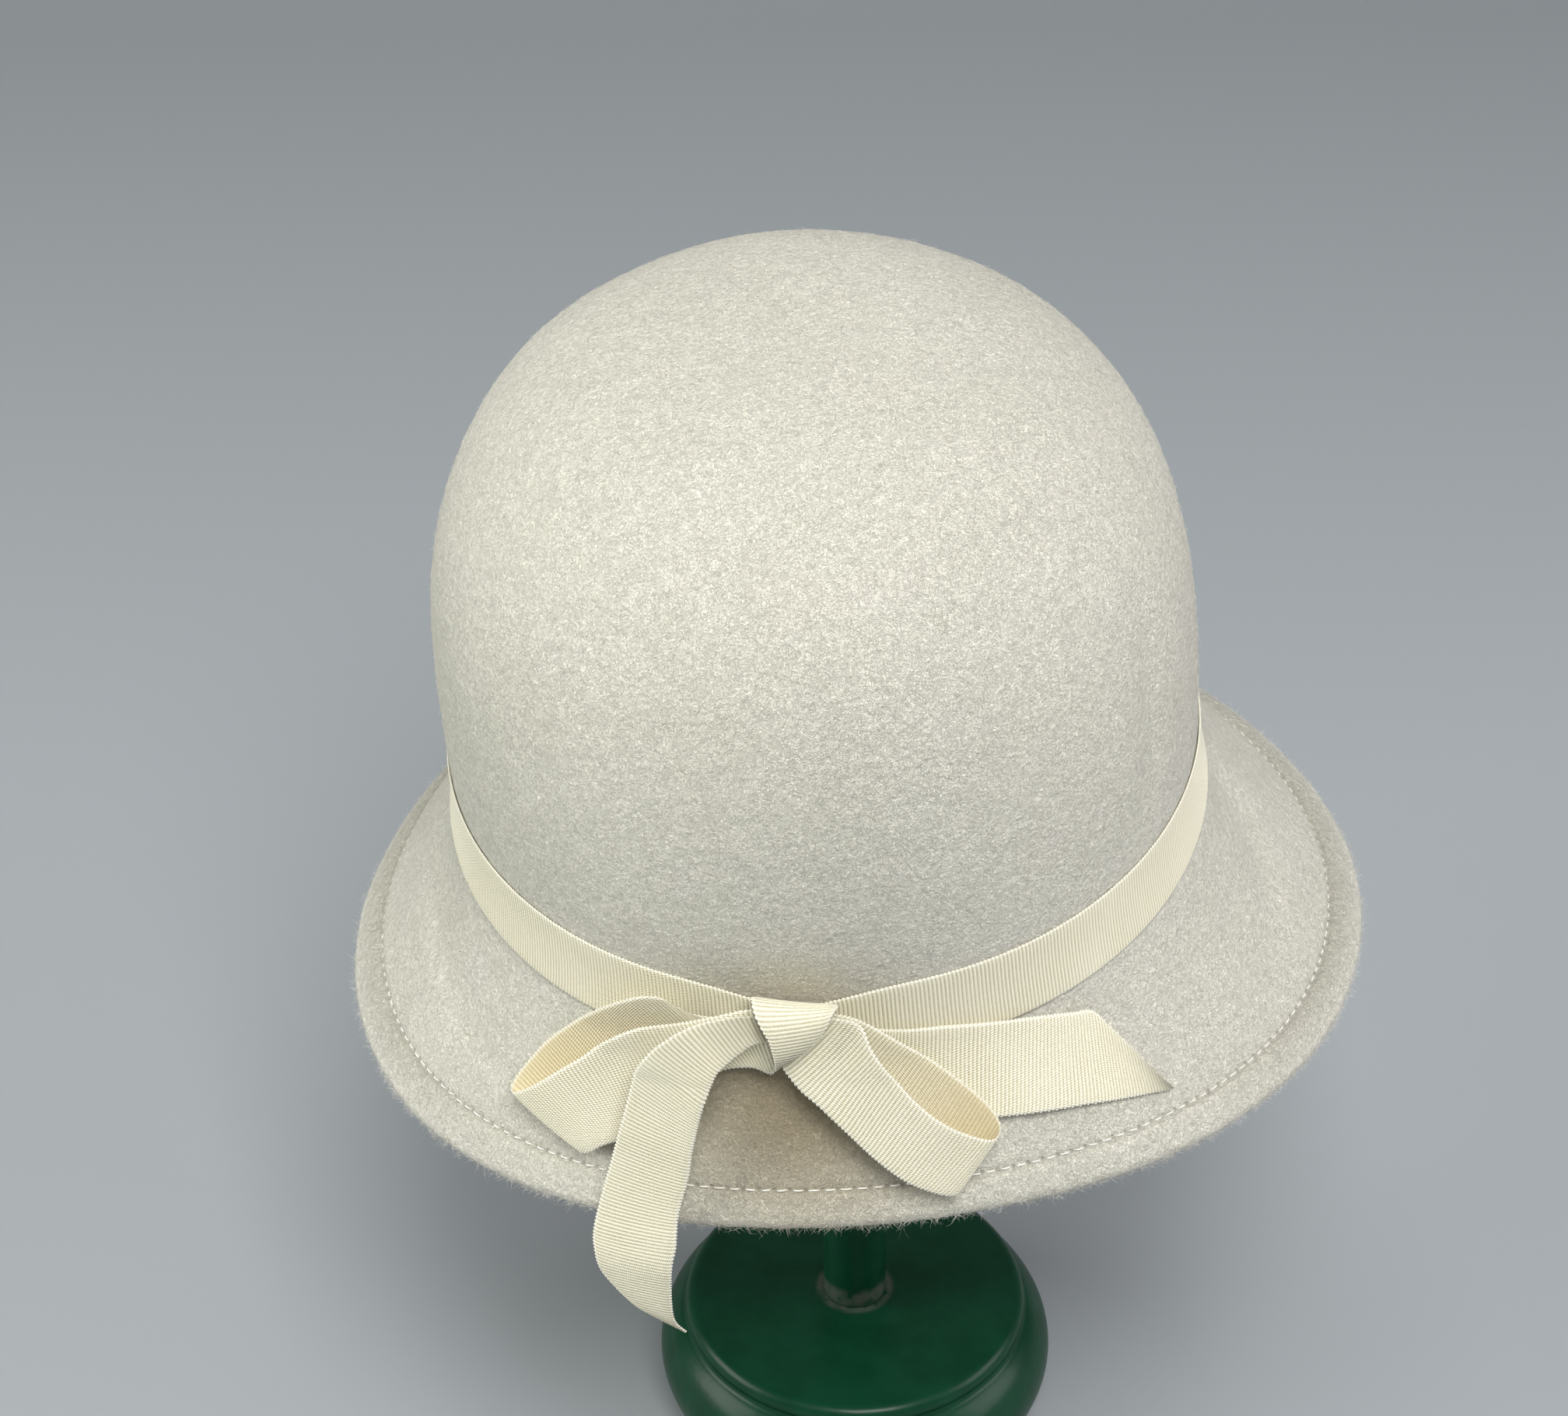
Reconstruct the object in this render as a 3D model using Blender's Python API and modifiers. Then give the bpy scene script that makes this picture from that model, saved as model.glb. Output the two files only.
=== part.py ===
"""Felt cloche hat with a ribbon band and bow, resting on a turned wooden stand.

Lengths are in metres and angles in degrees. The stand's axis is Z and its underside lies on z = 0.
The hat is built upright in its own frame, whose origin is the middle of the ribbon's top edge,
with the bow towards -Y. Two tilts and a turn then seat it on the stand.
"""
import math

import bmesh
import bpy
import numpy as np

# Felt crown
crown_half_width = 0.0892
crown_half_length = 0.0962
crown_height = 0.1045
crown_squareness = 3.0
felt_wall = 0.0022

# Shallow upright dent on the right of the crown's front
dent_angle = -44.0
dent_depth = 0.0010
dent_height = 0.0280
dent_half_width = 0.0085
dent_half_height = 0.0220

# Felt brim, its lengths measured down the slope from the ribbon's lower edge
brim_at_bow = 0.0398
brim_far_side = 0.0515
brim_left = 0.0600
brim_right = 0.0700
foot_flare = 0.0020
slope_at_foot = 73.0
slope_at_bow_edge = 55.0
slope_at_left_edge = 50.0
slope_at_right_edge = 43.5

# Edge of the brim, turned under and stitched down
hem_width = 0.0120
hem_roll = 0.0026
hem_groove = 0.0005
hem_tail = 0.0015

# Ribbon
ribbon_width = 0.0190
ribbon_wall = 0.0010
ribbon_gap = 0.0003
bow_angle = -104.0
band_gather = 0.0042
gather_run = 0.0150
drape_run = 0.0120

# Seat of the hat on the stand
hat_lean_to_bow = 4.67
hat_lean_to_left = 4.52
hat_turn = 8.14
hat_offset_x = -0.0084
hat_offset_y = 0.0051
ring_above_base = 0.1883
seat_gap = 0.0006

# Wooden stand
base_radius = 0.0534
base_edge_roll = 0.0163
disc_rise = 0.0026
disc_inset = 0.0072
disc_bead = 0.0032
post_radius = 0.0085
post_foot_radius = 0.0100
post_foot_height = 0.0030
dome_radius = 0.0360
dome_ball_radius = 0.0500
dome_thickness = 0.0180
stand_gap = 0.0003

# Fineness of the meshes
ring_steps = 56
crown_steps = 13
brim_steps = 7
roll_steps = 6
ribbon_steps = 3
turn_steps = 40

# Each ribbon is a sheet between two edges. A row is one place along it and holds, for the edge
# named first and then for the other one: the distance along the band from the knot and the
# distance down the hat from the band's top edge, both in ribbon widths, and the height off the
# felt in layers of ribbon, a layer being its wall and gap.
knot_rows = (
    # top edge first, left side, then right side
    (-0.46, 0.04, 1.6, 0.50, 0.14, 1.6),
    (-0.42, -0.14, 4.6, 0.52, -0.04, 4.6),
    (-0.36, -0.10, 7.2, 0.50, -0.12, 6.6),
    (-0.28, 0.02, 8.8, 0.44, -0.08, 8.0),
    (-0.20, 0.18, 9.6, 0.36, 0.08, 8.8),
    (-0.16, 0.44, 9.8, 0.16, 0.36, 9.2),
    (-0.16, 0.72, 9.0, -0.12, 0.66, 9.0),
)
right_loop_rows = (
    # front leaf from the knot, round the fold, back leaf to the knot; upper side, lower side
    (0.16, 0.10, 3.8, -0.14, 0.50, 5.2),
    (0.48, 0.10, 5.2, -0.12, 0.84, 6.2),
    (0.74, 0.12, 7.0, 0.04, 1.14, 7.0),
    (0.84, 0.44, 8.6, 0.26, 1.40, 7.6),
    (1.00, 0.86, 9.8, 0.52, 1.76, 8.0),
    (1.24, 1.40, 10.4, 0.78, 2.14, 8.0),
    (1.52, 1.82, 10.0, 1.04, 2.46, 7.6),
    (1.88, 2.16, 7.8, 1.34, 2.70, 6.6),
    (2.04, 2.14, 6.0, 1.50, 2.76, 5.2),
    (2.06, 1.96, 4.8, 1.52, 2.64, 4.2),
    (1.92, 1.64, 4.2, 1.34, 2.36, 3.8),
    (1.54, 1.10, 3.9, 0.96, 1.84, 3.7),
    (1.06, 0.58, 3.6, 0.50, 1.34, 3.6),
    (0.78, 0.32, 3.3, 0.26, 1.06, 3.4),
    (0.52, 0.20, 3.0, 0.08, 0.80, 3.1),
    (0.26, 0.20, 2.7, 0.06, 0.50, 2.9),
)
left_loop_rows = (
    # front leaf from the knot, round the fold, back leaf to the knot; upper side, lower side
    (-0.18, 0.24, 2.9, -0.16, 0.66, 4.0),
    (-0.46, 0.14, 3.0, -0.24, 1.04, 4.6),
    (-0.88, 0.30, 3.3, -0.50, 0.98, 4.6),
    (-1.26, 0.40, 5.0, -0.88, 1.12, 5.0),
    (-1.66, 0.44, 8.2, -1.32, 1.68, 5.6),
    (-1.98, 0.74, 9.4, -1.54, 1.98, 5.6),
    (-2.26, 1.20, 9.8, -1.74, 2.18, 5.4),
    (-2.54, 1.60, 9.4, -1.88, 2.34, 5.2),
    (-2.84, 2.02, 8.0, -2.06, 2.50, 4.8),
    (-3.08, 2.30, 6.2, -2.18, 2.64, 4.0),
    (-3.26, 2.44, 4.8, -2.28, 2.72, 3.0),
    (-3.32, 2.30, 3.8, -2.26, 2.66, 2.2),
    (-3.20, 1.92, 3.6, -2.16, 2.38, 1.8),
    (-2.96, 1.46, 4.0, -1.98, 2.06, 1.8),
    (-2.34, 0.66, 5.2, -1.64, 1.52, 1.8),
    (-1.82, 0.16, 5.9, -1.26, 1.14, 2.0),
    (-1.50, 0.04, 5.4, -0.98, 0.92, 2.0),
    (-1.34, 0.20, 4.2, -0.80, 0.84, 2.0),
    (-1.06, 0.38, 2.7, -0.58, 0.78, 1.9),
    (-0.16, 0.30, 1.8, -0.14, 0.62, 1.9),
)
hanging_tail_rows = (
    # from the knot over the left loop and the brim's edge to the cut end; outer, inner side
    (-0.16, 0.18, 4.6, -0.10, 0.40, 6.2),
    (-0.36, 0.10, 5.2, -0.26, 0.40, 6.6),
    (-0.60, 0.00, 7.2, -0.40, 0.36, 8.2),
    (-0.90, 0.00, 9.6, -0.60, 0.52, 10.2),
    (-1.14, 0.10, 12.0, -0.72, 0.68, 12.0),
    (-1.38, 0.40, 13.4, -0.80, 1.08, 12.8),
    (-1.54, 0.88, 13.4, -0.88, 1.48, 12.4),
    (-1.70, 1.86, 11.2, -0.98, 2.06, 10.0),
    (-1.80, 2.40, 8.8, -1.04, 2.50, 7.6),
    (-1.92, 3.04, 5.4, -1.14, 3.02, 4.8),
    (-1.98, 3.50, 3.2, -1.16, 3.40, 3.0),
    (-1.97, 3.72, 2.7, -1.20, 3.66, 2.6),
    (-1.90, 4.10, 2.4, -1.24, 4.04, 2.4),
    (-1.66, 4.50, 2.3, -1.26, 4.48, 2.4),
    (-1.44, 4.66, 2.2, -1.24, 4.68, 2.3),
    (-1.22, 4.80, 2.0, -1.16, 4.82, 2.2),
)
brim_tail_rows = (
    # from the knot along the brim to the cut end; upper side, lower side
    (0.20, 0.36, 1.8, 0.06, 0.80, 1.8),
    (0.90, 0.54, 1.8, 0.62, 1.24, 1.8),
    (1.26, 0.62, 1.8, 1.10, 1.68, 1.8),
    (1.76, 0.70, 1.9, 1.58, 1.94, 2.0),
    (2.32, 0.86, 1.9, 2.06, 2.04, 2.2),
    (2.86, 1.04, 1.9, 2.54, 2.18, 2.3),
    (3.32, 1.24, 1.9, 3.04, 2.36, 2.2),
    (3.58, 1.38, 1.8, 3.50, 2.54, 1.9),
    (3.74, 1.72, 1.8, 3.80, 2.70, 1.8),
    (3.92, 2.22, 1.6, 4.00, 2.80, 1.6),
    (4.08, 2.76, 1.5, 4.12, 2.86, 1.5),
)


def clear_scene():
    """Remove every object that the file opens with."""
    for item in list(bpy.data.objects):
        bpy.data.objects.remove(item, do_unlink=True)


def make_collection(name):
    """Add a collection to the scene and return it."""
    collection = bpy.data.collections.new(name)
    bpy.context.scene.collection.children.link(collection)
    return collection


def make_material(name, colour, roughness, metallic=0.0):
    """Plain material with one colour, roughness and metallic value."""
    material = bpy.data.materials.new(name)
    material.use_nodes = True
    shader = material.node_tree.nodes["Principled BSDF"]
    shader.inputs["Base Color"].default_value = (*colour, 1.0)
    shader.inputs["Roughness"].default_value = roughness
    shader.inputs["Metallic"].default_value = metallic
    return material


def add_object(name, mesh, material, parent=None):
    """Put a mesh into the hat's collection as a named, smooth-shaded object."""
    mesh.materials.append(material)
    mesh.shade_smooth()
    mesh.set_sharp_from_angle(angle=math.radians(40.0))
    item = bpy.data.objects.new(name, mesh)
    parts.objects.link(item)
    item.parent = parent
    return item


def grid_mesh(name, points, join_rows=False, join_columns=False, cap_ends=False):
    """Mesh of quads over a grid of points (rows, columns, 3).

    join_rows and join_columns join the last one to the first. cap_ends fans the first and the
    last row to their middle points, which shuts a stack of rings into one body.
    """
    rows, columns = points.shape[:2]
    shape = bmesh.new()
    verts = [[shape.verts.new(point) for point in row] for row in points]
    for r in range(rows if join_rows else rows - 1):
        below = verts[(r + 1) % rows]
        for c in range(columns if join_columns else columns - 1):
            d = (c + 1) % columns
            shape.faces.new((verts[r][c], below[c], below[d], verts[r][d]))
    if cap_ends:
        first = shape.verts.new(points[0].mean(axis=0))
        last = shape.verts.new(points[-1].mean(axis=0))
        for c in range(columns):
            d = (c + 1) % columns
            shape.faces.new((first, verts[0][c], verts[0][d]))
            shape.faces.new((last, verts[-1][d], verts[-1][c]))
    mesh = bpy.data.meshes.new(name)
    shape.to_mesh(mesh)
    shape.free()
    return mesh


def turned_object(name, profile, material):
    """Solid of revolution about Z from an (radius, height) profile that runs top to bottom."""
    mesh = bpy.data.meshes.new(name)
    corners = [(radius, 0.0, height) for radius, height in profile]
    mesh.from_pydata(corners, [(i, i + 1) for i in range(len(corners) - 1)], [])
    item = bpy.data.objects.new(name, mesh)
    parts.objects.link(item)
    screw = item.modifiers.new("turn", "SCREW")
    screw.steps = turn_steps
    screw.render_steps = turn_steps
    screw.use_merge_vertices = True
    screw.merge_threshold = 0.00001
    screw.use_smooth_shade = True
    mesh.materials.append(material)
    return item


def arc(middle, radius, start, end, steps):
    """Points of an arc in the (radius, height) plane, by angle in degrees from +X."""
    angles = np.radians(np.linspace(start, end, steps))
    return [(middle[0] + radius * math.cos(a), middle[1] + radius * math.sin(a)) for a in angles]


def side_blend(theta, bow, far, left, right):
    """Smooth value round the hat that takes the four named values at its four sides."""
    mean = (bow + far + left + right) / 4.0
    two_fold = (left + right - bow - far) / 4.0
    cross = (right - left) / 2.0 * np.cos(theta) + (far - bow) / 2.0 * np.sin(theta)
    return mean + cross + two_fold * np.cos(2.0 * theta)


def brim_length(theta):
    """Length of the brim down its slope, at an angle round the hat."""
    return side_blend(theta, brim_at_bow, brim_far_side, brim_left, brim_right)


def swept(run, first_slope, last_slope, power):
    """Reach and drop of a path of length run whose slope eases from the first to the last."""
    steps = (np.arange(24) + 0.5) / 24.0
    slope = last_slope + (first_slope - last_slope) * (1.0 - steps * power[..., None]) ** 2
    return run * np.cos(slope).mean(axis=-1), run * np.sin(slope).mean(axis=-1)


def felt_place(theta, down, lift):
    """Point at a height off the felt's outer face below the crown.

    theta is the angle round the hat, down the distance along the felt from the ribbon's top edge
    and lift the height off it. Past the brim's edge the surface turns over and hangs straight
    down, as a ribbon does there.
    """
    theta, down, lift = np.broadcast_arrays(theta, down, lift)
    edge_slope = np.radians(side_blend(theta, slope_at_bow_edge, slope_at_bow_edge,
                                       slope_at_left_edge, slope_at_right_edge))
    foot_slope = math.radians(slope_at_foot)
    brim = brim_length(theta)
    on_band = np.clip(down, None, ribbon_width)
    share = np.clip(on_band / ribbon_width, 0.0, 1.0)
    on_brim = np.clip(down - ribbon_width, 0.0, brim)
    past = np.clip(down - ribbon_width - brim, 0.0, None)
    turning = np.clip(past, 0.0, drape_run)
    brim_share = on_brim / brim
    reach, drop = swept(on_brim, foot_slope, edge_slope[..., None], brim_share)
    turn_share = turning / drape_run
    turn_slope = edge_slope[..., None] + (math.pi / 2.0 - edge_slope[..., None]) \
        * turn_share[..., None] * (np.arange(24) + 0.5) / 24.0
    reach = reach + foot_flare * share ** 2 + turning * np.cos(turn_slope).mean(axis=-1)
    drop = on_band + drop + turning * np.sin(turn_slope).mean(axis=-1) + past - turning
    slope = np.where(down < ribbon_width,
                     math.pi / 2.0 - (math.pi / 2.0 - foot_slope) * share ** 2,
                     edge_slope + (foot_slope - edge_slope) * (1.0 - brim_share) ** 2)
    slope = np.where(past > 0.0, edge_slope + (math.pi / 2.0 - edge_slope) * turn_share, slope)
    normal = np.stack([np.cos(theta) / crown_half_width, np.sin(theta) / crown_half_length], axis=-1)
    normal = normal / np.linalg.norm(normal, axis=-1, keepdims=True)
    out = (reach + lift * np.sin(slope))[..., None]
    foot = np.stack([crown_half_width * np.cos(theta), crown_half_length * np.sin(theta)], axis=-1)
    height = lift * np.cos(slope) - drop
    return np.concatenate([foot + normal * out, height[..., None]], axis=-1)


def crown_dome(theta, turns, inset):
    """Points of the crown, a wall's depth inside it or on its outer face.

    The crown is a squared dome: its half width, half length and height are joined by a curve
    between an ellipse and a box. turns is the angle above the ribbon's top edge.
    """
    size = (np.cos(turns) ** crown_squareness + np.sin(turns) ** crown_squareness) \
        ** (-1.0 / crown_squareness)
    spread = np.cos(turns) * size
    height = (crown_height - inset) * np.sin(turns) * size + 0.0 * theta
    across = (theta - math.radians(dent_angle)) * crown_half_length / dent_half_width
    up = (height - dent_height) / dent_half_height
    dent = dent_depth * np.exp(-across ** 2 - up ** 2)
    return np.stack([((crown_half_width - inset) * spread - dent) * np.cos(theta),
                     ((crown_half_length - inset) * spread - dent) * np.sin(theta),
                     height], axis=-1)


def felt_rings(theta):
    """Rings over the whole felt: crown, brim, rolled edge, hem underneath, and the inside."""
    brim = brim_length(theta)
    edge = ribbon_width + brim
    flat = brim - hem_width
    turns = np.radians(90.0 - 90.0 * (np.arange(crown_steps) + 0.5) / crown_steps)[:, None]
    places = [(ribbon_width * share, 0.0) for share in (0.0, 0.5, 1.0)]
    places += [(ribbon_width + flat * share, 0.0) for share in np.arange(1, brim_steps) / brim_steps]
    places.append((ribbon_width + flat, -hem_groove))
    places.append((edge - hem_width * 0.75, 0.0))
    places.append((edge - hem_roll * 2.0, 0.0))
    for turn in np.radians(np.linspace(90.0, -90.0, roll_steps + 1)):
        places.append((edge - hem_roll + hem_roll * math.cos(turn), hem_roll * (math.sin(turn) - 1.0)))
    stitched = -2.0 * felt_wall
    places.append((edge - hem_width * 0.75, -2.0 * hem_roll))
    places += [(edge - hem_width, stitched), (edge - hem_width - hem_tail, stitched)]
    places.append((edge - hem_width - hem_tail, -felt_wall))
    inner = flat - hem_tail
    places += [(ribbon_width + inner * share, -felt_wall)
               for share in 1.0 - np.arange(1, brim_steps) / brim_steps]
    places += [(ribbon_width * share, -felt_wall) for share in (1.0, 0.5, 0.0)]
    skirt = np.array([felt_place(theta, down, lift) for down, lift in places])
    outside = crown_dome(theta, turns, 0.0)
    inside = crown_dome(theta, turns[::-1], felt_wall)
    return np.concatenate([outside, skirt, inside])


def build_felt(parent):
    """Crown and brim with its turned-under edge, as one hollow felt."""
    mesh = grid_mesh("felt_body", felt_rings(round_angles), join_columns=True, cap_ends=True)
    return add_object("felt_body", mesh, felt, parent)


def build_band(parent):
    """Ribbon laid round the foot of the crown, both edges gathered in behind the knot."""
    outer = ribbon_gap + ribbon_wall
    from_knot = np.remainder(round_angles - math.radians(bow_angle) + math.pi, 2.0 * math.pi) - math.pi
    along = from_knot * (crown_half_width + crown_half_length) / 2.0
    gather = band_gather * np.exp(-(along / gather_run) ** 2)
    section = ((0.0, outer), (0.5, outer), (1.0, outer),
               (1.0, ribbon_gap), (0.5, ribbon_gap), (0.0, ribbon_gap))
    rings = np.array([felt_place(round_angles, ribbon_width * share + gather * (1.0 - 2.0 * share), lift)
                      for share, lift in section])
    mesh = grid_mesh("ribbon_band", rings, join_rows=True, join_columns=True)
    return add_object("ribbon_band", mesh, ribbon, parent)


def smooth_rows(rows, steps):
    """Rows read from a Catmull-Rom curve through the given ones, steps to each gap."""
    table = np.array(rows)
    padded = np.concatenate([2.0 * table[:1] - table[1:2], table, 2.0 * table[-1:] - table[-2:-1]])
    result = []
    for i in range(len(table) - 1):
        before, start, end, after = padded[i:i + 4]
        for t in np.arange(steps) / steps:
            result.append(0.5 * (2.0 * start + (end - before) * t
                                 + (2.0 * before - 5.0 * start + 4.0 * end - after) * t ** 2
                                 + (3.0 * start - before - 3.0 * end + after) * t ** 3))
    result.append(table[-1])
    return np.array(result)


def build_ribbon(name, rows, parent):
    """Sheet of ribbon between the two edges that a table gives, with the ribbon's wall."""
    stations = smooth_rows(rows, ribbon_steps)
    band_radius = (crown_half_width + crown_half_length) / 2.0
    across = np.array((0.0, 0.5, 1.0))[None, :, None]
    place = stations[:, None, :3] * (1.0 - across) + stations[:, None, 3:] * across
    theta = math.radians(bow_angle) + place[..., 0] * ribbon_width / band_radius
    layer = ribbon_wall + ribbon_gap
    points = felt_place(theta, place[..., 1] * ribbon_width, place[..., 2] * layer)
    mesh = grid_mesh(name, points)
    item = add_object(name, mesh, ribbon, parent)
    wall = item.modifiers.new("wall", "SOLIDIFY")
    wall.thickness = ribbon_wall
    wall.offset = 0.0
    return item


def build_base():
    """Thick round foot of the stand, with a beaded disc on top."""
    bead_middle = (base_radius - disc_inset - disc_bead, base_height - disc_bead)
    roll_middle = (base_radius - base_edge_roll, base_edge_roll)
    profile = [(0.0, base_height)]
    profile += arc(bead_middle, disc_bead, 90.0, -40.0, 5)
    profile += arc(roll_middle, base_edge_roll, 50.0, -90.0, 10)
    profile.append((0.0, 0.0))
    return turned_object("stand_base", profile, wood)


def crown_ceiling(x, y, seat):
    """Height of the crown's inside above points (x, y) of the stand, with the hat seated."""
    theta = np.radians(np.arange(0.0, 360.0, 1.0))
    turns = np.radians(np.linspace(4.0, 90.0, 240))[:, None]
    inside = crown_dome(theta, turns, felt_wall).reshape(-1, 3)
    placed = inside @ np.array(seat.to_3x3()).T + np.array(seat.translation)
    far = (placed[:, 0, None] - x) ** 2 + (placed[:, 1, None] - y) ** 2
    return placed[far.argmin(axis=0), 2]


def dome_profile():
    """Top of the stand as (radius, drop below its highest point)."""
    reach = math.asin(dome_radius / dome_ball_radius)
    turns = np.linspace(0.0, reach, 7)
    return [(dome_ball_radius * math.sin(t), dome_ball_radius * (1.0 - math.cos(t))) for t in turns]


def dome_top(seat):
    """Greatest height of the dome's top that leaves the seat's gap under the felt."""
    heights = []
    for radius, drop in dome_profile():
        angles = 2.0 * math.pi * np.arange(24) / 24.0
        ceiling = crown_ceiling(radius * np.cos(angles), radius * np.sin(angles), seat)
        heights.append((ceiling + drop).min())
    return min(heights) - seat_gap


def build_post(top):
    """Turned post, a little wider at its foot, from the base to the dome."""
    foot = base_height + stand_gap
    profile = [(0.0, top), (post_radius, top), (post_radius, foot + post_foot_height)]
    profile += [(post_foot_radius, foot), (0.0, foot)]
    return turned_object("stand_post", profile, wood)


def build_dome(top):
    """Rounded head of the stand that carries the crown from inside."""
    profile = [(radius, top - drop) for radius, drop in dome_profile()]
    profile.append((dome_radius, top - dome_thickness))
    profile.append((0.0, top - dome_thickness))
    return turned_object("stand_dome", profile, wood)


clear_scene()
parts = make_collection("cloche_hat")
felt = make_material("felt", (0.76, 0.73, 0.63), 0.95)
ribbon = make_material("ribbon", (0.80, 0.74, 0.58), 0.60)
wood = make_material("painted_wood", (0.006, 0.035, 0.016), 0.30)
base_height = 2.0 * base_edge_roll + disc_rise
round_angles = 2.0 * math.pi * np.arange(ring_steps) / ring_steps

hat = bpy.data.objects.new("hat_seat", None)
parts.objects.link(hat)
hat.location = (hat_offset_x, hat_offset_y, base_height + ring_above_base)
hat.rotation_euler = (math.radians(hat_lean_to_bow), math.radians(-hat_lean_to_left),
                      math.radians(hat_turn))
bpy.context.view_layer.update()

build_felt(hat)
build_band(hat)
build_ribbon("bow_knot", knot_rows, hat)
build_ribbon("bow_loop_right", right_loop_rows, hat)
build_ribbon("bow_loop_left", left_loop_rows, hat)
build_ribbon("bow_tail_hanging", hanging_tail_rows, hat)
build_ribbon("bow_tail_brim", brim_tail_rows, hat)

top_of_dome = dome_top(hat.matrix_world)
build_base()
build_dome(top_of_dome)
build_post(top_of_dome - dome_thickness - stand_gap)
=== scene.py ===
"""Looks of a felt cloche hat with a ribbon bow on a turned stand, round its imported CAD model."""
import math

import bpy
import numpy as np
from mathutils import Euler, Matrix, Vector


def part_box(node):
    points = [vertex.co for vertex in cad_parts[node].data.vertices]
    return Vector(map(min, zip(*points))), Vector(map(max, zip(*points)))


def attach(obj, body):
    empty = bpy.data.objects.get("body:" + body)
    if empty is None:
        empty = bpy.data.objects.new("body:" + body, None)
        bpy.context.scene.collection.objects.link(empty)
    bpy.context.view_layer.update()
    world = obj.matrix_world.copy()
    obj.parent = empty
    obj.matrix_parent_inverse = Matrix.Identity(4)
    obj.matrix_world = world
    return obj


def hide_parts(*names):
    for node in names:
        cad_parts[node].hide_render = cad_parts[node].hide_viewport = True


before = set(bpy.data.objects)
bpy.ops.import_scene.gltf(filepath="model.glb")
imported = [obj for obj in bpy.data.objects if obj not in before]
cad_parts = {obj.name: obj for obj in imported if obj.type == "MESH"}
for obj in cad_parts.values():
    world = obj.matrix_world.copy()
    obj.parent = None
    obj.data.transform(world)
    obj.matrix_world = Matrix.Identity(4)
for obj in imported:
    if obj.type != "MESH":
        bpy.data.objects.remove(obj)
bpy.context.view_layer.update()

# Camera, where the photograph was taken: in front of the bow, a little above the crown and
# looking down by about 34 degrees, through a long lens.
PICTURE_WIDTH = 2016
FOCAL_PIXELS = 3900
camera_data = bpy.data.cameras.new("camera")
camera_data.sensor_width = 36.0
camera_data.lens = 36.0 * FOCAL_PIXELS / PICTURE_WIDTH
camera = bpy.data.objects.new("camera", camera_data)
camera.location = (-0.0170, -0.5951, 0.6325)
camera.rotation_euler = (math.radians(55.69), math.radians(0.68), math.radians(-0.46))
bpy.context.scene.collection.objects.link(camera)
bpy.context.scene.camera = camera


# Felt hat: one piece of cream wool felt blocked over a dome and flared into a brim. Its edge is
# turned under and stitched down, which leaves a soft roll outside the line of stitches.
CROWN_HALF_WIDTH = 0.0892
CROWN_HALF_LENGTH = 0.0962
CROWN_RADIUS = (CROWN_HALF_WIDTH + CROWN_HALF_LENGTH) / 2.0
CROWN_HEIGHT = 0.1045
CROWN_SQUARENESS = 3.0
DENT_ANGLE = math.radians(-44.0)
DENT_DEPTH = 0.0010
DENT_HALF_WIDTH = 0.0055
DENT_MIDDLE = 0.028
DENT_HALF_HEIGHT = 0.022
FELT_WALL = 0.0022
RIBBON_WIDTH = 0.0190
FOOT_FLARE = 0.0020
FOOT_SLOPE = math.radians(73.0)
EDGE_BEND = 0.012
HEM_ROLL = 0.0026
BOW_ANGLE = math.radians(-104.0)
hat_lean = (math.radians(4.67), math.radians(-4.52), math.radians(8.14))
hat_turn = np.array(Euler(hat_lean).to_matrix())
hat_place = np.array((-0.0084, 0.0051, 0.2235))


def seated(points):
    """Points of the upright hat, leaned and turned and moved to their seat on the stand."""
    return points @ hat_turn.T + hat_place


def side_blend(theta, bow, far, left, right):
    """Value round the hat from its four sides: a mean, one wave round and two waves round."""
    return ((bow + far + left + right) / 4.0
            + (right - left) / 2.0 * np.cos(theta) + (far - bow) / 2.0 * np.sin(theta)
            + (left + right - bow - far) / 4.0 * np.cos(2.0 * theta))


def brim_length(theta):
    """Slant length of the brim below the ribbon, at an angle round the hat."""
    return side_blend(theta, 0.0398, 0.0515, 0.0600, 0.0700)


def hem_width(theta):
    """Width of the turned-under edge, from its line of stitches out. It is narrowest at the bow."""
    return side_blend(theta, 0.0088, 0.0120, 0.0122, 0.0120)


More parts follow.
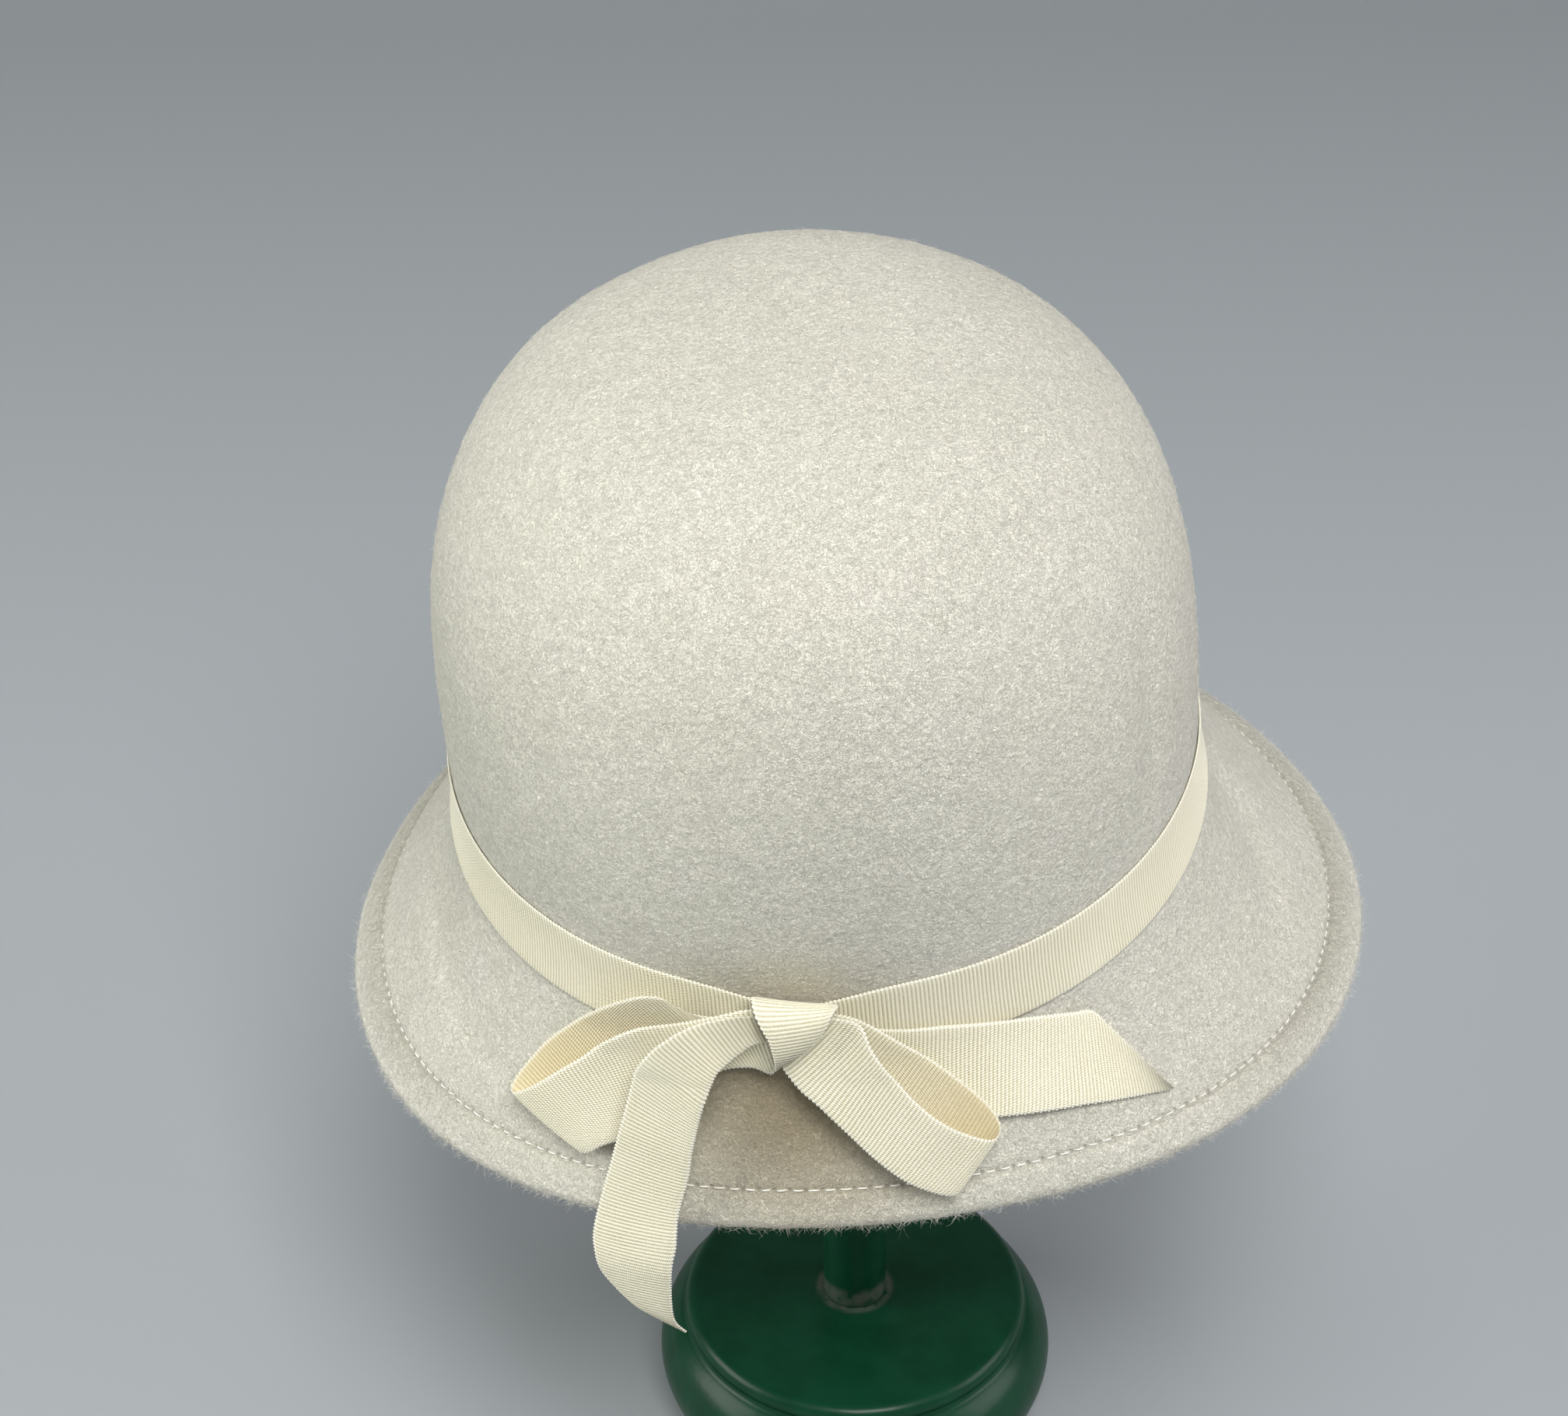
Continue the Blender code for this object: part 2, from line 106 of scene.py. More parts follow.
def over_felt(theta, down, lift):
    """Point of the upright hat at a distance down the felt and a height off it.

    down runs from the ribbon's top edge. The felt drops straight past the ribbon with a slight
    flare, then follows a brim whose slope eases by the square of the way left to its edge. Past
    the edge the path turns over to hang straight down, as a ribbon does there.
    """
    theta, down, lift = np.broadcast_arrays(theta, down, lift)
    edge_slope = np.radians(side_blend(theta, 55.0, 55.0, 50.0, 43.5))
    brim = brim_length(theta)
    on_band = np.clip(down, None, RIBBON_WIDTH)
    share = np.clip(on_band / RIBBON_WIDTH, 0.0, 1.0)
    on_brim = np.clip(down - RIBBON_WIDTH, 0.0, brim)
    past = np.clip(down - RIBBON_WIDTH - brim, 0.0, None)
    turning = np.clip(past, 0.0, EDGE_BEND)
    steps = (np.arange(24) + 0.5) / 24.0
    left_over = 1.0 - (on_brim / brim)[..., None] * steps
    slopes = edge_slope[..., None] + (FOOT_SLOPE - edge_slope[..., None]) * left_over ** 2
    fall = math.pi / 2.0 - edge_slope[..., None]
    turned = edge_slope[..., None] + fall * (turning / EDGE_BEND)[..., None] * steps
    reach = (FOOT_FLARE * share ** 2 + on_brim * np.cos(slopes).mean(-1)
             + turning * np.cos(turned).mean(-1))
    drop = (on_band + on_brim * np.sin(slopes).mean(-1)
            + turning * np.sin(turned).mean(-1) + past - turning)
    slope = edge_slope + (FOOT_SLOPE - edge_slope) * (1.0 - on_brim / brim) ** 2
    flare_slope = math.pi / 2.0 - (math.pi / 2.0 - FOOT_SLOPE) * share ** 2
    slope = np.where(down < RIBBON_WIDTH, flare_slope, slope)
    slope = np.where(past > 0.0, edge_slope + fall[..., 0] * turning / EDGE_BEND, slope)
    foot = np.stack([CROWN_HALF_WIDTH * np.cos(theta), CROWN_HALF_LENGTH * np.sin(theta)], -1)
    away = np.stack([np.cos(theta) / CROWN_HALF_WIDTH, np.sin(theta) / CROWN_HALF_LENGTH], -1)
    away = away / np.linalg.norm(away, axis=-1, keepdims=True)
    flat = foot + away * (reach + lift * np.sin(slope))[..., None]
    return np.concatenate([flat, (lift * np.cos(slope) - drop)[..., None]], -1)


def over_crown(theta, rise, inset):
    """Point of the squared dome above the ribbon, at an angle of rise and a depth inside it.

    Half width, half length and height are joined by |x|^p + |z|^p = 1, and a shallow upright
    dent is taken out on the right of the front.
    """
    size = np.cos(rise) ** CROWN_SQUARENESS + np.sin(rise) ** CROWN_SQUARENESS
    size = size ** (-1.0 / CROWN_SQUARENESS)
    height = (CROWN_HEIGHT - inset) * np.sin(rise) * size + 0.0 * theta
    across = (theta - DENT_ANGLE) * CROWN_HALF_LENGTH / DENT_HALF_WIDTH
    dent = DENT_DEPTH * np.exp(-across ** 2 - ((height - DENT_MIDDLE) / DENT_HALF_HEIGHT) ** 2)
    spread = np.cos(rise) * size
    return np.stack([((CROWN_HALF_WIDTH - inset) * spread - dent) * np.cos(theta),
                     ((CROWN_HALF_LENGTH - inset) * spread - dent) * np.sin(theta), height], -1)


def run_along(points):
    """Length along a line of points, from 0 at the first: the sum of the steps so far."""
    return np.concatenate([[0.0], np.cumsum(np.linalg.norm(np.diff(points, axis=0), axis=1))])


# The line of stitches, one hem's width in from the brim's edge, and its count of stitches so far
STITCH_PITCH = 0.0036
seam_theta = np.linspace(0.0, 2.0 * math.pi, 2001)
seam_down = RIBBON_WIDTH + brim_length(seam_theta) - hem_width(seam_theta)
seam_run = run_along(over_felt(seam_theta, seam_down, 0.0))
stitch_count = round(seam_run[-1] / STITCH_PITCH)
seam_stitch = seam_run / seam_run[-1] * stitch_count


def lumps(points, wavelength, seed):
    """Soft unevenness in space: a mean of sine waves of about one length in random directions."""
    dice = np.random.default_rng(seed)
    waves = dice.normal(size=(10, 3))
    waves *= 2.0 * math.pi / wavelength / np.linalg.norm(waves, axis=1, keepdims=True)
    return np.sin(points @ waves.T + dice.uniform(0.0, 6.3, 10)).mean(-1) * 2.0


def grid_normals(points, closed):
    """Unit normals of a grid of points, from the steps along its rows and its columns."""
    along = np.gradient(points, axis=0)
    around = np.gradient(points, axis=1)
    if closed:
        around = np.roll(points, -1, 1) - np.roll(points, 1, 1)
    normal = np.cross(along, around)
    return normal / np.maximum(np.linalg.norm(normal, axis=-1, keepdims=True), 1e-12)


def grid_piece(name, points, material, poles=False, weave=None, deep=None):
    """Piece of quads over a grid of points (rows, columns, 3), riding on the object's body.

    The last column is joined to the first, and poles close the first and the last row to their
    middles. weave gives a UV pair to each point and to one more column, where the grid closes,
    and deep gives each point a share of painted shade that the material reads.
    """
    rows, columns = points.shape[:2]
    index = np.arange(rows * columns).reshape(rows, columns)
    after = np.roll(index, -1, 1)
    quads = np.stack([index[:-1], index[1:], after[1:], after[:-1]], -1).reshape(-1, 4)
    corners = [points.reshape(-1, 3)]
    faces = quads.tolist()
    if poles:
        corners += [points[:1].mean(1), points[-1:].mean(1)]
        top, bottom = rows * columns, rows * columns + 1
        faces += np.stack([np.full(columns, top), index[0], after[0]], -1).tolist()
        faces += np.stack([np.full(columns, bottom), after[-1], index[-1]], -1).tolist()
    mesh = bpy.data.meshes.new(name)
    mesh.from_pydata(np.concatenate(corners), [], faces)
    if weave is not None:
        uv = np.stack([weave[:-1, :-1], weave[1:, :-1], weave[1:, 1:], weave[:-1, 1:]], 2)
        values = np.full((len(mesh.loops), 2), weave[0, 0])
        values[:uv.size // 2] = uv.reshape(-1, 2)
        mesh.uv_layers.new(name="weave").uv.foreach_set("vector", values.ravel())
    if deep is not None:
        values = np.zeros(len(mesh.vertices))
        values[:deep.size] = deep.ravel()
        mesh.attributes.new("deep", "FLOAT", "POINT").data.foreach_set("value", values)
    mesh.shade_smooth()
    mesh.materials.append(material)
    piece = bpy.data.objects.new(name, mesh)
    bpy.context.scene.collection.objects.link(piece)
    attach(piece, "root")
    return piece


class Shade:
    """A socket of a material, so that its pattern can be written as arithmetic."""

    def __init__(self, tree, socket=None):
        self.tree = tree
        self.socket = socket

    def node(self, kind, settings, values, output=0):
        """Add a node: its settings first, then the value or the link of each given socket."""
        made = self.tree.nodes.new(kind)
        for key, value in settings.items():
            setattr(made, key, value)
        for key, value in values.items():
            if isinstance(value, Shade):
                self.tree.links.new(value.socket, made.inputs[key])
            else:
                made.inputs[key].default_value = value
        return Shade(self.tree, made.outputs[output])

    def maths(self, operation, first, second):
        """One Math node on two values."""
        return self.node("ShaderNodeMath", {"operation": operation}, {0: first, 1: second})

    def __add__(self, other):
        return self.maths("ADD", self, other)

    def __sub__(self, other):
        return self.maths("SUBTRACT", self, other)

    def __rsub__(self, other):
        return self.maths("SUBTRACT", other, self)

    def __mul__(self, other):
        return self.maths("MULTIPLY", self, other)

    def __abs__(self):
        return self.maths("ABSOLUTE", self, 0.0)

    __radd__ = __add__
    __rmul__ = __mul__

    def cosine(self):
        """Cosine of this value, counted in whole turns."""
        return self.maths("COSINE", self * (2.0 * math.pi), 0.0)

    def part(self, index):
        """One number of this vector: 0, 1 or 2."""
        return self.node("ShaderNodeSeparateXYZ", {}, {0: self}, index)

    def distance(self, point):
        """Distance of this vector from a fixed point."""
        return self.node("ShaderNodeVectorMath", {"operation": "DISTANCE"}, {0: self, 1: point}, 1)

    def band(self, low, high):
        """0 below low, 1 above high, and a smooth step between them."""
        settings = {"interpolation_type": "SMOOTHSTEP"}
        return self.node("ShaderNodeMapRange", settings, {0: self, 1: low, 2: high})

    def noise(self, size, detail, curl=0.0, turn=(0.0, 0.0, 0.0)):
        """Noise whose grains are about size metres across, with their outlines curled."""
        values = {"Vector": self, "Rotation": turn, "Scale": (1.0 / size,) * 3}
        placed = self.node("ShaderNodeMapping", {}, values)
        values = {"Vector": placed, "Scale": 1.0, "Detail": detail, "Distortion": curl}
        return placed.node("ShaderNodeTexNoise", {}, values)

    def tint(self, first, second):
        """Colour between two colours, by this value."""
        pair = {0: self, 6: first if isinstance(first, Shade) else (*first, 1.0),
                7: second if isinstance(second, Shade) else (*second, 1.0)}
        return self.node("ShaderNodeMix", {"data_type": "RGBA"}, pair, 2)

    def relief(self, distance):
        """Normal bumped by this height, where 1 stands for distance in metres."""
        values = {"Strength": 1.0, "Distance": distance, "Height": self}
        return self.node("ShaderNodeBump", {}, values)


def finish(name, **plain):
    """New material, its shader with plain values on the named sockets, and Object coordinates."""
    material = bpy.data.materials.new(name)
    material.use_nodes = True
    shader = material.node_tree.nodes["Principled BSDF"]
    for key, value in plain.items():
        shader.inputs[key.replace("_", " ")].default_value = value
    place = Shade(material.node_tree).node("ShaderNodeTexCoord", {}, {}, "Object")
    return material, shader, place


def wire(shader, **links):
    """Link patterns to the shader's sockets."""
    for key, value in links.items():
        value.tree.links.new(value.socket, shader.inputs[key.replace("_", " ")])


UNDER_BOW = tuple(seated(over_felt(math.radians(-104.5), 0.028, 0.0)))


def painted_shade_under_bow(place, tone):
    """Painted shade and a warm painted ribbon reflection under the bow, fading with distance."""
    near_bow = 1.0 - place.distance(UNDER_BOW).band(0.004, 0.048)
    return (near_bow * 0.86).tint(tone, (0.390, 0.318, 0.196))


# Wool felt: pale curled fibres over tufts and grain, on a tone that drifts a little over the hat
felt, shader, place = finish("wool_felt", Roughness=0.95, Specular_IOR_Level=0.12,
                             Sheen_Weight=0.06, Sheen_Roughness=0.6)
FIBRE_LAYERS = ((0.0012, (0.3, 0.2, 0.4)), (0.0016, (1.1, -0.5, 1.3)), (0.0009, (-0.7, 0.9, 2.2)))
fibres = sum(1.0 - abs(place.noise(size, 1.0, 1.6, turn=turn) - 0.5).band(0.0, 0.035)
             for size, turn in FIBRE_LAYERS)
# Dark gaps and stray hairs, where the wool parts
gaps = 1.0 - abs(place.noise(0.0013, 1.0, 2.2, turn=(0.9, 2.0, 0.1)) - 0.47).band(0.0, 0.022)
hair = 1.0 - abs(place.noise(0.0030, 0.0, 2.6, turn=(2.0, 0.3, 1.1)) - 0.52).band(0.0, 0.010)
hair = hair * place.noise(0.0035, 1.0, turn=(0.0, 1.0, 0.6)).band(0.56, 0.66)
tufts = place.noise(0.0021, 3.0, 0.6)
grain = place.noise(0.0010, 2.0, 0.8, turn=(1.7, 0.6, 0.9))
clouds = place.noise(0.035, 2.0)
warm = place.noise(0.022, 1.0, turn=(0.4, 0.0, 1.0))
tone = clouds.band(0.3, 0.7).tint((0.790, 0.774, 0.664), (0.838, 0.820, 0.718))
tone = (warm.band(0.45, 0.75) * 0.35).tint(tone, (0.812, 0.766, 0.704))
tone = (0.66 * fibres).band(0.0, 1.0).tint(tone, (0.880, 0.864, 0.780))
tone = (tufts.band(0.35, 0.68) * 0.35).tint(tone, (0.600, 0.584, 0.498))
tone = (grain.band(0.38, 0.62) * 0.32).tint(tone, (0.580, 0.564, 0.480))
tone = (gaps * 0.38).tint(tone, (0.420, 0.405, 0.340))
tone = (hair * 0.55).tint(tone, (0.300, 0.290, 0.250))
# Round the line of stitches: painted shade in the groove and the needle's holes, and the puckers.
# The turned edge has a tone of its own at the fold, and painted shade darkens its inner wall
# beside the thread, except near the bow.
hem = place.node("ShaderNodeUVMap", {"uv_map": "weave"}, {})
stitch = hem.part(0)
off_line = hem.part(1)
far_back = place.part(1).band(-0.085, -0.030)
groove = 1.0 - abs(off_line - 0.0001).band(0.0, 0.0014)
hole = stitch.cosine().band(0.55, 1.0) * (1.0 - abs(off_line).band(0.0002, 0.0006))
pucker = off_line.band(0.0004, 0.0012) * (1.0 - off_line.band(0.004, 0.009))
pucker = pucker * place.noise(0.0022, 1.0, 0.5)
# Painted shade in the groove, deeper away from the bow, and in the needle's holes
tone = (groove * (0.12 + 0.18 * far_back)).tint(tone, (0.430, 0.405, 0.325))
tone = (hole * 0.32).tint(tone, (0.200, 0.185, 0.140))
tone = (off_line.band(0.0075, 0.0110) * 0.45).tint(tone, (0.800, 0.775, 0.720))
# Painted shade on the hem's inner wall beside the thread, strongest at the sides and back
inner_wall_shade = off_line.band(-0.0004, 0.0008) * (1.0 - off_line.band(0.0010, 0.0092)) * far_back
inner_wall_shade = inner_wall_shade * (0.65 + 0.7 * place.noise(0.0028, 2.0, 0.6))
tone = (inner_wall_shade * 0.62).tint(tone, (0.480, 0.470, 0.390))
# Painted shade and a warm painted reflection of the ribbon under the bow
tone = painted_shade_under_bow(place, tone)
height = fibres * 0.34 + tufts.band(0.2, 0.8) - grain.band(0.3, 0.7) * 0.5 - gaps * 0.35
height = height - hole + pucker * 2.8
wire(shader, Base_Color=tone, Normal=height.relief(0.00028))

COLUMNS = 320
CROWN_ROWS = 110
BAND_ROWS = 10
ROLL_ROWS = 16
PRESSED_ROWS = slice(CROWN_ROWS - 4, CROWN_ROWS + BAND_ROWS + 2)
HEM_EASE = 0.002
CUT_BACK = 0.0015
theta = 2.0 * math.pi * np.arange(COLUMNS) / COLUMNS
rise = np.radians(90.0 - 90.0 * (np.arange(CROWN_ROWS)[:, None] + 0.5) / CROWN_ROWS)
brim = brim_length(theta)
edge = RIBBON_WIDTH + brim
turned = hem_width(theta)
stitch_line = edge - turned


def ramp(count):
    """Column of evenly spaced shares from 0 towards 1, without 1."""
    return np.arange(count)[:, None] / count


def away_from_bow(theta):
    """0 at the bow, 1 a quarter of the way round and 2 at the back, by one cosine."""
    return 1.0 - np.cos(theta - BOW_ANGLE)


# Rows down the outside. The turned edge swells over its fold, less at the bow, and the thread
# pulls a groove along the line of stitches.
hem_start = brim - turned - HEM_EASE
on_band = RIBBON_WIDTH * ramp(BAND_ROWS) + 0.0 * theta
on_brim = RIBBON_WIDTH + hem_start * ramp(38)
on_hem = RIBBON_WIDTH + hem_start + (turned + HEM_EASE - 2.0 * HEM_ROLL) * ramp(26)
top_down = np.concatenate([on_band, on_brim, on_hem])
from_line = top_down - stitch_line
in_hem = np.clip(from_line / (turned - 2.0 * HEM_ROLL), 0.0, 1.0)
puff = 0.0005 + 0.0010 * np.minimum(away_from_bow(theta), 1.0)
pulled = 0.00030 * np.exp(-(from_line / 0.0010) ** 2)
eased = 0.00025 * np.exp(-np.abs(from_line) / 0.003)
top_lift = puff * np.sin(math.pi / 2.0 * np.minimum(in_hem / 0.7, 1.0)) ** 1.5 - pulled - eased

# Rows round the rolled edge, back under the hem to its cut edge, and up the inside
roll_turn = np.radians(90.0 - 180.0 * ramp(ROLL_ROWS))
roll_down = edge - 2.0 * HEM_ROLL + HEM_ROLL * (1.0 + np.cos(roll_turn))
roll_lift = HEM_ROLL * (np.sin(roll_turn) - 1.0) + puff * (1.0 + np.sin(roll_turn)) / 2.0
under_hem = edge - HEM_ROLL - (turned - HEM_ROLL) * ramp(12)
under_hem_lift = -2.0 * HEM_ROLL + (2.0 * HEM_ROLL - 2.0 * FELT_WALL) * ramp(12)
under_hem_lift = under_hem_lift + 0.0 * theta
cut_line = stitch_line - CUT_BACK
cut = cut_line + 0.0 * ramp(2)
cut_lift = -2.0 * FELT_WALL + FELT_WALL * ramp(2) + 0.0 * theta
under_brim = cut_line - (cut_line - RIBBON_WIDTH) * ramp(22)
under_band = RIBBON_WIDTH * (1.0 - ramp(7)) + 0.0 * theta
inner_down = np.concatenate([under_brim, under_band])
inner_lift = np.full(inner_down.shape, -FELT_WALL)
outside = np.concatenate([over_crown(theta, rise, 0.0), over_felt(theta, top_down, top_lift)])
rolled = over_felt(theta, roll_down, roll_lift)
inside = np.concatenate([over_felt(theta, np.concatenate([under_hem, cut, inner_down]),
                                   np.concatenate([under_hem_lift, cut_lift, inner_lift])),
                         over_crown(theta, rise[::-2], FELT_WALL)])
skin = np.concatenate([outside, rolled, inside])
uneven = 0.00022 * lumps(skin, 0.055, 3) + 0.00007 * lumps(skin, 0.009, 4)


def trough(across, behind, before):
    """Depth share of a crease: 1 on its line, fading over one width behind and one before it."""
    return np.exp(-(across / np.where(across > 0.0, behind, before)) ** 2)


BRIM_RADIUS = 0.115
# Each brim crease as (down, degrees round the hat), from the ribbon outwards
RIGHT_CREASE = ((0.019, 354.0), (0.037, 353.0), (0.0475, 348.0), (0.054, 341.5), (0.064, 330.0))
LEFT_CREASE = ((0.019, 162.0), (0.029, 170.0), (0.0375, 178.0), (0.041, 185.0), (0.0445, 191.0),
               (0.048, 204.0))


def off_crease(down, crease):
    """Distance round the brim from a crease, whose angle is read along the slant of the brim."""
    along, degrees = zip(*crease)
    return (theta - np.radians(np.interp(down, along, degrees))) * BRIM_RADIUS


def brim_creases(down):
    """Depth of the two soft creases that leave the ribbon and bend forward across the brim."""
    deep = 0.0020 * trough(off_crease(down, RIGHT_CREASE), 0.0125, 0.0180)
    deep = deep * np.exp(-((down - 0.038) / 0.020) ** 4)
    shallow = 0.0014 * trough(off_crease(down, LEFT_CREASE), 0.0400, 0.0260)
    return deep + shallow * np.exp(-((down - 0.036) / 0.014) ** 4)


# The ribbon presses the felt even. An upright crease runs up the crown on its right, and the
# inside follows every crease.
CREASE_RADIUS = 0.093
uneven[PRESSED_ROWS] *= 0.3
across = (theta - np.radians(315.3) - 0.194 * rise) * CREASE_RADIUS
crown_crease = 0.0013 * trough(across, 0.0032, 0.0070)
crown_crease = crown_crease * np.exp(-((rise - np.radians(18.0)) / np.radians(13.0)) ** 4)
inner_start = len(outside) + ROLL_ROWS + len(under_hem) + len(cut)
uneven[:CROWN_ROWS] += crown_crease
uneven[-(CROWN_ROWS // 2):] -= crown_crease[::-2]
uneven[CROWN_ROWS:len(outside)] += brim_creases(top_down)
uneven[inner_start:inner_start + len(inner_down)] -= brim_creases(inner_down)
skin = seated(skin - grid_normals(skin, True) * uneven[..., None])

# The material reads the count of stitches and the distance past their line. The crown gets a
# distance at which it draws nothing, and the inside one at which only the fold's own tone shows.
beyond_line = np.full(skin.shape[:2], 0.03)
beyond_line[:CROWN_ROWS] = -0.05
beyond_line[CROWN_ROWS:len(outside)] = from_line
beyond_line[len(outside):len(outside) + ROLL_ROWS] = roll_down - stitch_line
lay = np.stack([np.interp(theta, seam_theta, seam_stitch) + 0.0 * beyond_line, beyond_line], -1)
lay = np.concatenate([lay, lay[:, :1] + (stitch_count, 0.0)], 1)
felt_hat = grid_piece("felt_hat", skin, felt, poles=True, weave=lay)
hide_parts("felt_body")


# Nap: loose wool ends that stand off the felt and blur its outline. Most are pale and lie almost
# flat, the fuzz of the crown and of the rolled edge stands up, and a few ends are dark.
def strand_piece(name, rings, material):
    """Many thin closed strands as one piece, from rings (strand, place along it, corner, 3).

    Neighbouring rings are joined by quads, and each strand's first and last ring are its ends.
    """
    index = np.arange(rings[..., 0].size).reshape(rings.shape[:3])
    after = np.roll(index, -1, 2)
    quads = np.stack([index[:, :-1], after[:, :-1], after[:, 1:], index[:, 1:]], -1)
    ends = np.concatenate([index[:, 0, ::-1], index[:, -1]])
    mesh = bpy.data.meshes.new(name)
    mesh.from_pydata(rings.reshape(-1, 3), [], quads.reshape(-1, 4).tolist() + ends.tolist())
    mesh.shade_smooth()
    mesh.materials.append(material)
    piece = bpy.data.objects.new(name, mesh)
    bpy.context.scene.collection.objects.link(piece)
    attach(piece, "root")
    return piece


def unit(vectors):
    """Vectors brought to length one."""
    return vectors / np.maximum(np.linalg.norm(vectors, axis=-1, keepdims=True), 1e-12)


def sown(points, count, dice):
    """Random places over a closed ring of grid points, as many on each patch as its area takes.

    Each place comes with its outward direction and the direction round the ring.
    """
    here, below = points[:-1], points[1:]
    beside, across = np.roll(here, -1, 1), np.roll(below, -1, 1)
    area = np.linalg.norm(np.cross(below - here, beside - here), axis=-1)
    pick = dice.choice(area.size, count, p=area.ravel() / area.sum())
    grids = (here, below, beside, across)
    here, below, beside, across = (grid.reshape(-1, 3)[pick] for grid in grids)
    u, v = dice.random((2, count, 1))
    root = (here * (1.0 - u) + beside * u) * (1.0 - v) + (below * (1.0 - u) + across * u) * v
    outward = unit(np.cross(below - here, beside - here))
    return root, outward, unit(beside - here)


def wool_ends(name, points, count, seed, length, lift, thickness, material, places=3, curl=0.5):
    """Curved three-sided strands that grow from random places on a grid of points.

    A strand leaves its root in a random direction, bends sideways by the square of the way
    along it, and rises with a slope of at most lift, which levels off towards its tip.
    """
    dice = np.random.default_rng(seed)
    root, outward, beside = sown(points, count, dice)
    turn = dice.uniform(0.0, 2.0 * math.pi, (count, 1))
    ahead = beside * np.cos(turn) + np.cross(outward, beside) * np.sin(turn)
    side = np.cross(outward, ahead)
    long = dice.uniform(0.5, 1.0, (count, 1, 1)) * length
    rise = dice.uniform(0.2, 1.0, (count, 1, 1)) ** 2 * lift
    bend = dice.normal(0.0, curl, (count, 1, 1))
    way = np.linspace(0.0, 1.0, places)[:, None]
    middle = root[:, None] + long * (ahead[:, None] * way + side[:, None] * bend * way ** 2
                                     + outward[:, None] * rise * (way - 0.5 * way ** 2))
    run = unit(middle[:, -1:] - middle[:, :1])
    cross = unit(np.cross(outward[:, None], run))
    over = np.cross(run, cross)
    turn = 2.0 * math.pi * np.arange(3) / 3
    radius = thickness / 2.0 * (1.0 - 0.7 * way)
    rings = middle[:, :, None] + (cross[:, :, None] * (radius * np.cos(turn))[..., None]
                                  + over[:, :, None] * (radius * np.sin(turn))[..., None])
    strand_piece(name, rings, material)


wool, shader, place = finish("loose_wool", Roughness=0.80, Specular_IOR_Level=0.20)
strands = place.noise(0.0020, 1.0).band(0.35, 0.65)
tone = strands.tint((0.700, 0.680, 0.590), (0.860, 0.845, 0.780))
# Painted shade under the bow, as on the felt
wire(shader, Base_Color=painted_shade_under_bow(place, tone))
dark_wool, shader, place = finish("dark_wool", Roughness=0.80, Specular_IOR_Level=0.20)
strands = place.noise(0.0020, 1.0).band(0.35, 0.65)
wire(shader, Base_Color=strands.tint((0.250, 0.240, 0.200), (0.420, 0.400, 0.340)))
roll_start = len(outside)
crown_skin = skin[:CROWN_ROWS]
brim_skin = skin[PRESSED_ROWS.stop:roll_start + 12]
wool_ends("crown_nap", crown_skin, 10500, 11, 0.0019, 0.34, 0.000075, wool)
wool_ends("brim_nap", brim_skin, 7500, 12, 0.0019, 0.36, 0.000075, wool)
wool_ends("crown_fuzz", crown_skin, 3600, 13, 0.0016, 1.6, 0.000050, wool)
wool_ends("edge_fuzz", skin[roll_start + 2:roll_start + 16], 9000, 14, 0.0021, 2.2, 0.000070,
          wool, places=2)
wool_ends("long_edge_fuzz", skin[roll_start + 6:roll_start + 24], 900, 16, 0.0042, 1.2, 0.000050,
          wool, places=5, curl=0.7)
wool_ends("dark_wool_ends", skin[:roll_start + 8], 900, 15, 0.0011, 0.20, 0.000050,
          dark_wool, places=5, curl=1.4)


# Stitches: one row of white lockstitches that holds the turned-under edge. Each is a short arched
# length of thread. They lie open at the bow and sink into the felt towards the sides.
STITCH_RADIUS = 0.00019
STITCH_ARCH = 0.00042
STITCH_BED = 0.00014
thread, shader, place = finish("white_thread", Roughness=0.55, Specular_IOR_Level=0.3)
strands = place.noise(0.0006, 1.0).band(0.35, 0.65)
wire(shader, Base_Color=strands.tint((0.830, 0.815, 0.750), (0.930, 0.920, 0.870)))
dice = np.random.default_rng(8)


def seam_point(angle, lift):
    """Point of the seated hat on the line of stitches, at a height off the felt."""
    return seated(over_felt(angle, RIBBON_WIDTH + brim_length(angle) - hem_width(angle), lift))


angle = np.interp(np.arange(stitch_count) + 0.5, seam_stitch, seam_theta)
from_bow = away_from_bow(angle)
sink = -0.00022 - 0.00060 * np.clip((from_bow - 0.30) / 0.40, 0.0, 1.0)
middle = seam_point(angle, sink)
ahead = unit(seam_point(angle + 0.01, sink) - seam_point(angle - 0.01, sink))
outward = seam_point(angle, 0.001) - middle
outward = unit(outward - (outward * ahead).sum(-1, keepdims=True) * ahead)
sideways = np.cross(outward, ahead)
way = np.linspace(-1.0, 1.0, 9)[:, None]
turn = 2.0 * math.pi * np.arange(8) / 8
radius = STITCH_RADIUS * np.sqrt(np.clip(1.0 - way ** 4, 0.02, 1.0))
radius = radius * (1.0 - 0.30 * np.minimum(from_bow, 1.0))[:, None, None]
along = way * dice.uniform(0.0020, 0.0027, stitch_count)[:, None, None] / 2.0 + 0.0 * turn
side = radius * np.cos(turn) + dice.normal(0.0, 0.06, stitch_count)[:, None, None] * along
up = radius * np.sin(turn) + STITCH_ARCH * (1.0 - way ** 2) - STITCH_BED
rings = (middle[:, None, None] + along[..., None] * ahead[:, None, None]
         + side[..., None] * sideways[:, None, None] + up[..., None] * outward[:, None, None])
strand_piece("hem_stitches", rings, thread)


# Ribbon band: cream grosgrain 19 mm wide, woven with a rib across it about every millimetre. It
# lies flat round the foot of the crown and its edges draw in behind the knot.
RIB_PITCH = 0.00095
RIB_HEIGHT = 0.00009
RIB_STEPS = 5
RIBBON_THICK = 0.00045
BAND_RADIUS = 0.0945
BAND_LIFT = 0.00042
KNOT_GATHER = 0.0042
KNOT_REACH = 0.0150
SHARES = np.concatenate([[0.0], (1.0 - np.cos(math.pi * np.linspace(0.12, 0.88, 9))) / 2.0, [1.0]])

